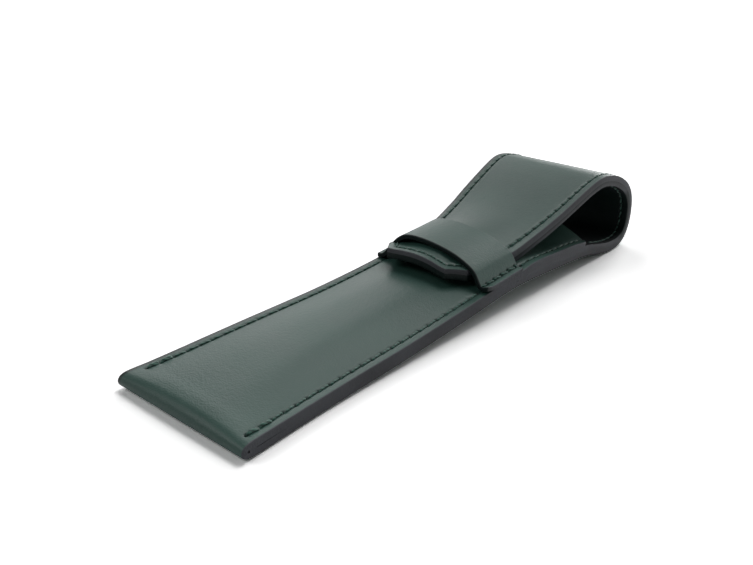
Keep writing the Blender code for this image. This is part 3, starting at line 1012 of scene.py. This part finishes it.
def pocketSeam(side, name, node):
    xs, holes, lean = holeX[side], frontHoles[side], seam["lean"] * side
    strapFrom, strapTo = strap["left"] + strap["holesInside"], strap["right"] - strap["holesInside"]
    inStrap = (xs > strapFrom) & (xs < strapTo)
    front = [
        (holes[i], holes[i + 1], lean, onTop)
        for i in range(len(xs) - 1)
        if not (inStrap[i] or inStrap[i + 1])
    ]
    # the doubled stitches where the thread starts
    aside = [(0, shift * side) for shift in seam["doubledAside"]]
    height = onTop + seam["doubledUp"]
    for i in range(seam["doubled"]):
        a, b = holes[i] + aside[0], holes[i + 1] + aside[1]
        front.append((a, b, -lean, height, seam["doubledThick"]))
    back = [(a, b, lean, underneath) for a, b in pairs(backHoles[side]) if a[0] < cutPlaces["foot"]]
    top = sewRun("frontRun", front, onStrip)
    under = sewRun("backRun", back, onStrip)
    inside = xs[inStrap]
    starts = max(xs[xs <= strapFrom].max(), strap["left"] + strap["threadInside"])
    stops = min(xs[xs >= strapTo].min(), strap["right"] - strap["threadInside"])
    steps = [*zip(inside[:-1], inside[1:]), (starts, inside[0]), (inside[-1], stops)]
    line = strapSeam[side]
    across = sewRun("strapRun", [((line, a), (line, b), -lean, onTop) for a, b in steps], onStrap)
    piece = joinAll([top, under, across], name)
    finishSeam(piece)
    bodyPiece(piece, ("case",), (node,))


pocketSeam(-1, "pocketSeamNear", "pocket_seam_near")
pocketSeam(1, "pocketSeamFar", "pocket_seam_far")
print("pocket seams")


def loopSeam(part, stitches, name, node):
    outerRun, innerRun = [], []
    for a, b, lean in stitches:
        outerRun.append((a, b, lean, underneath if a[0] < cutPlaces["top"] else onTop))
        innerRun.append((a, b, lean, innerFaceAt(a[0]) - onTop))
    outside = sewRun("outerRun", outerRun, onStrip)
    inside = sewRun("innerRun", innerRun, onStrip, under=True)
    piece = joinAll([outside, inside], name)
    finishSeam(piece)
    bodyPiece(piece, part["bodies"], (node,))


holesFrom = {side: np.concatenate([backHoles[side][-1:], flapHoles[side]]) for side in sides}
for part in lengths:
    u0, u1 = cutPlaces[part["from"]], cutPlaces[part["to"]]
    runs = [
        [(a, b, seam["lean"] * side) for a, b in pairs(holesFrom[side]) if u0 <= (a[0] + b[0]) / 2 < u1]
        for side in sides
    ]
    if part["to"] == "tip":
        aroundTip = [(a, b, 0) for a, b in pairs(tipPath)]
        loopSeam(part, runs[0] + runs[1] + aroundTip, "tongueStitching", "tongue_stitching")
        continue
    for run, word in zip(runs, ("near", "far")):
        stitchNode = f"{part['node']}_stitching_{word}"
        loopSeam(part, run, f"loop{part['name']}Stitching{word.capitalize()}", stitchNode)
bpy.data.objects.remove(stitch)
print("loop stitches")

# The floor and the surround are white to the camera. What the leather mirrors of the surround is
# graded from sweep to above by height, and from nearSide to full along the case.
studio = {
    "around": 0.04,
    "sweep": 1.6,
    "above": 0.2,
    "sweepReach": (0.05, 0.4),
    "nearSide": 0.25,
    "nearSideReach": (-0.5, 0.3),
    "floor": 0.6,
    "seenFloor": 1.8,
    "floorInGloss": 0.35,
    "floorSize": 6,
    "floorUp": -0.0001,
    "lampSpread": 28,
    "lampGloss": 0.2,
}
# turn is counted from the loop's end towards the far side
lamps = [
    {"name": "lowFromTheLoop", "height": 12, "turn": 7, "strength": 1.2},
    {"name": "lowFarSide", "height": 32, "turn": 50, "strength": 0.45},
    {"name": "lowNearSide", "height": 25, "turn": -60, "strength": 0.14},
    {"name": "overTheNearSide", "height": 42, "turn": -25, "strength": 0.2},
    {"name": "overTheFarSide", "height": 42, "turn": 142, "strength": 0.65},
    {"name": "overhead", "height": 67, "turn": 4, "strength": 1.0},
]


def seenDirectly(nodes, links):
    path = nodes.new("ShaderNodeLightPath")
    seen = nodes.new("ShaderNodeMath")
    seen.operation = "MAXIMUM"
    links.new(path.outputs["Is Camera Ray"], seen.inputs[0])
    links.new(path.outputs["Is Transmission Ray"], seen.inputs[1])
    return path.outputs["Is Glossy Ray"], seen.outputs["Value"]


def makeFloor():
    clearSelection()
    bpy.ops.mesh.primitive_plane_add(size=studio["floorSize"], location=(0, 0, studio["floorUp"]))
    floor = bpy.context.object
    floor.name = "floor"
    material, nodes, links, shader = nodeTree("paleFloor")
    shader.inputs["Roughness"].default_value = 0.7
    shader.inputs["Specular IOR Level"].default_value = 0.1
    glossy, seen = seenDirectly(nodes, links)
    through = addNode(nodes, "ShaderNodeMath", {1: studio["floorInGloss"]})
    through.operation = "MULTIPLY_ADD"
    links.new(glossy, through.inputs[0])
    links.new(seen, through.inputs[2])
    colour = ramp(nodes, [(0.0, (studio["floor"],) * 3), (1.0, (studio["seenFloor"],) * 3)])
    links.new(through.outputs["Value"], colour.inputs["Fac"])
    links.new(colour.outputs["Color"], shader.inputs["Base Color"])
    floor.data.materials.append(material)
    floor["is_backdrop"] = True


def makeWorld():
    world = bpy.data.worlds.new("studio")
    bpy.context.scene.world = world
    world.use_nodes = True
    nodes, links = world.node_tree.nodes, world.node_tree.links
    back = nodes["Background"]
    back.inputs["Color"].default_value = (1, 1, 1, 1)
    direction = nodes.new("ShaderNodeTexCoord")
    parts = nodes.new("ShaderNodeSeparateXYZ")
    links.new(direction.outputs["Generated"], parts.inputs["Vector"])
    byHeight = (studio["sweep"], studio["above"])
    sweep = fade(nodes, links, parts.outputs["Z"], studio["sweepReach"], byHeight)
    sweep.interpolation_type = "SMOOTHSTEP"
    alongCase = (studio["nearSide"], 1.0)
    behind = fade(nodes, links, parts.outputs["X"], studio["nearSideReach"], alongCase)
    graded = nodes.new("ShaderNodeMath")
    graded.operation = "MULTIPLY"
    links.new(sweep.outputs["Result"], graded.inputs[0])
    links.new(behind.outputs["Result"], graded.inputs[1])
    glossy, seen = seenDirectly(nodes, links)
    mirrored = fade(nodes, links, glossy, (0, 1), (studio["around"], 1))
    links.new(graded.outputs["Value"], mirrored.inputs["To Max"])
    level = fade(nodes, links, seen, (0, 1), (0, 1))
    links.new(mirrored.outputs["Result"], level.inputs["To Min"])
    links.new(level.outputs["Result"], back.inputs["Strength"])


def makeLamp(lamp):
    light = bpy.data.lights.new(lamp["name"], "SUN")
    light.energy = lamp["strength"]
    light.angle = math.radians(studio["lampSpread"])
    light.specular_factor = studio["lampGloss"]
    holder = bpy.data.objects.new(lamp["name"], light)
    bpy.context.scene.collection.objects.link(holder)
    height, turn = math.radians(lamp["height"]), math.radians(lamp["turn"])
    level = math.cos(height)
    towards = Vector((level * math.cos(turn), level * math.sin(turn), math.sin(height)))
    holder.rotation_euler = towards.to_track_quat("Z", "Y").to_euler()


makeFloor()
makeWorld()
for lamp in lamps:
    makeLamp(lamp)

camera = {
    "place": (-0.17373, -0.12008, 0.09331),
    "right": (0.640555, -0.766964, 0.038161),
    "up": (0.275309, 0.275756, 0.920958),
    "back": (-0.716864, -0.579418, 0.387789),
    "lens": 38.128,
    "sensor": 36,
    "nearest": 0.005,
}


def makeCamera():
    lens = bpy.data.cameras.new("photoView")
    lens.lens = camera["lens"]
    lens.sensor_width = camera["sensor"]
    lens.clip_start = camera["nearest"]
    view = bpy.data.objects.new("photoView", lens)
    bpy.context.scene.collection.objects.link(view)
    right, up, back = Vector(camera["right"]), Vector(camera["up"]), Vector(camera["back"])
    turn = Matrix((right, up, back)).transposed().to_4x4()
    view.matrix_world = Matrix.Translation(camera["place"]) @ turn
    bpy.context.scene.camera = view


makeCamera()
bpy.context.scene.view_settings.view_transform = "Standard"

low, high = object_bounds()
for word, corners in (("size", (*low, *high)), ("solids", (*cadLow, *cadHigh))):
    print(word, [round(v * 1000, 1) for v in corners])
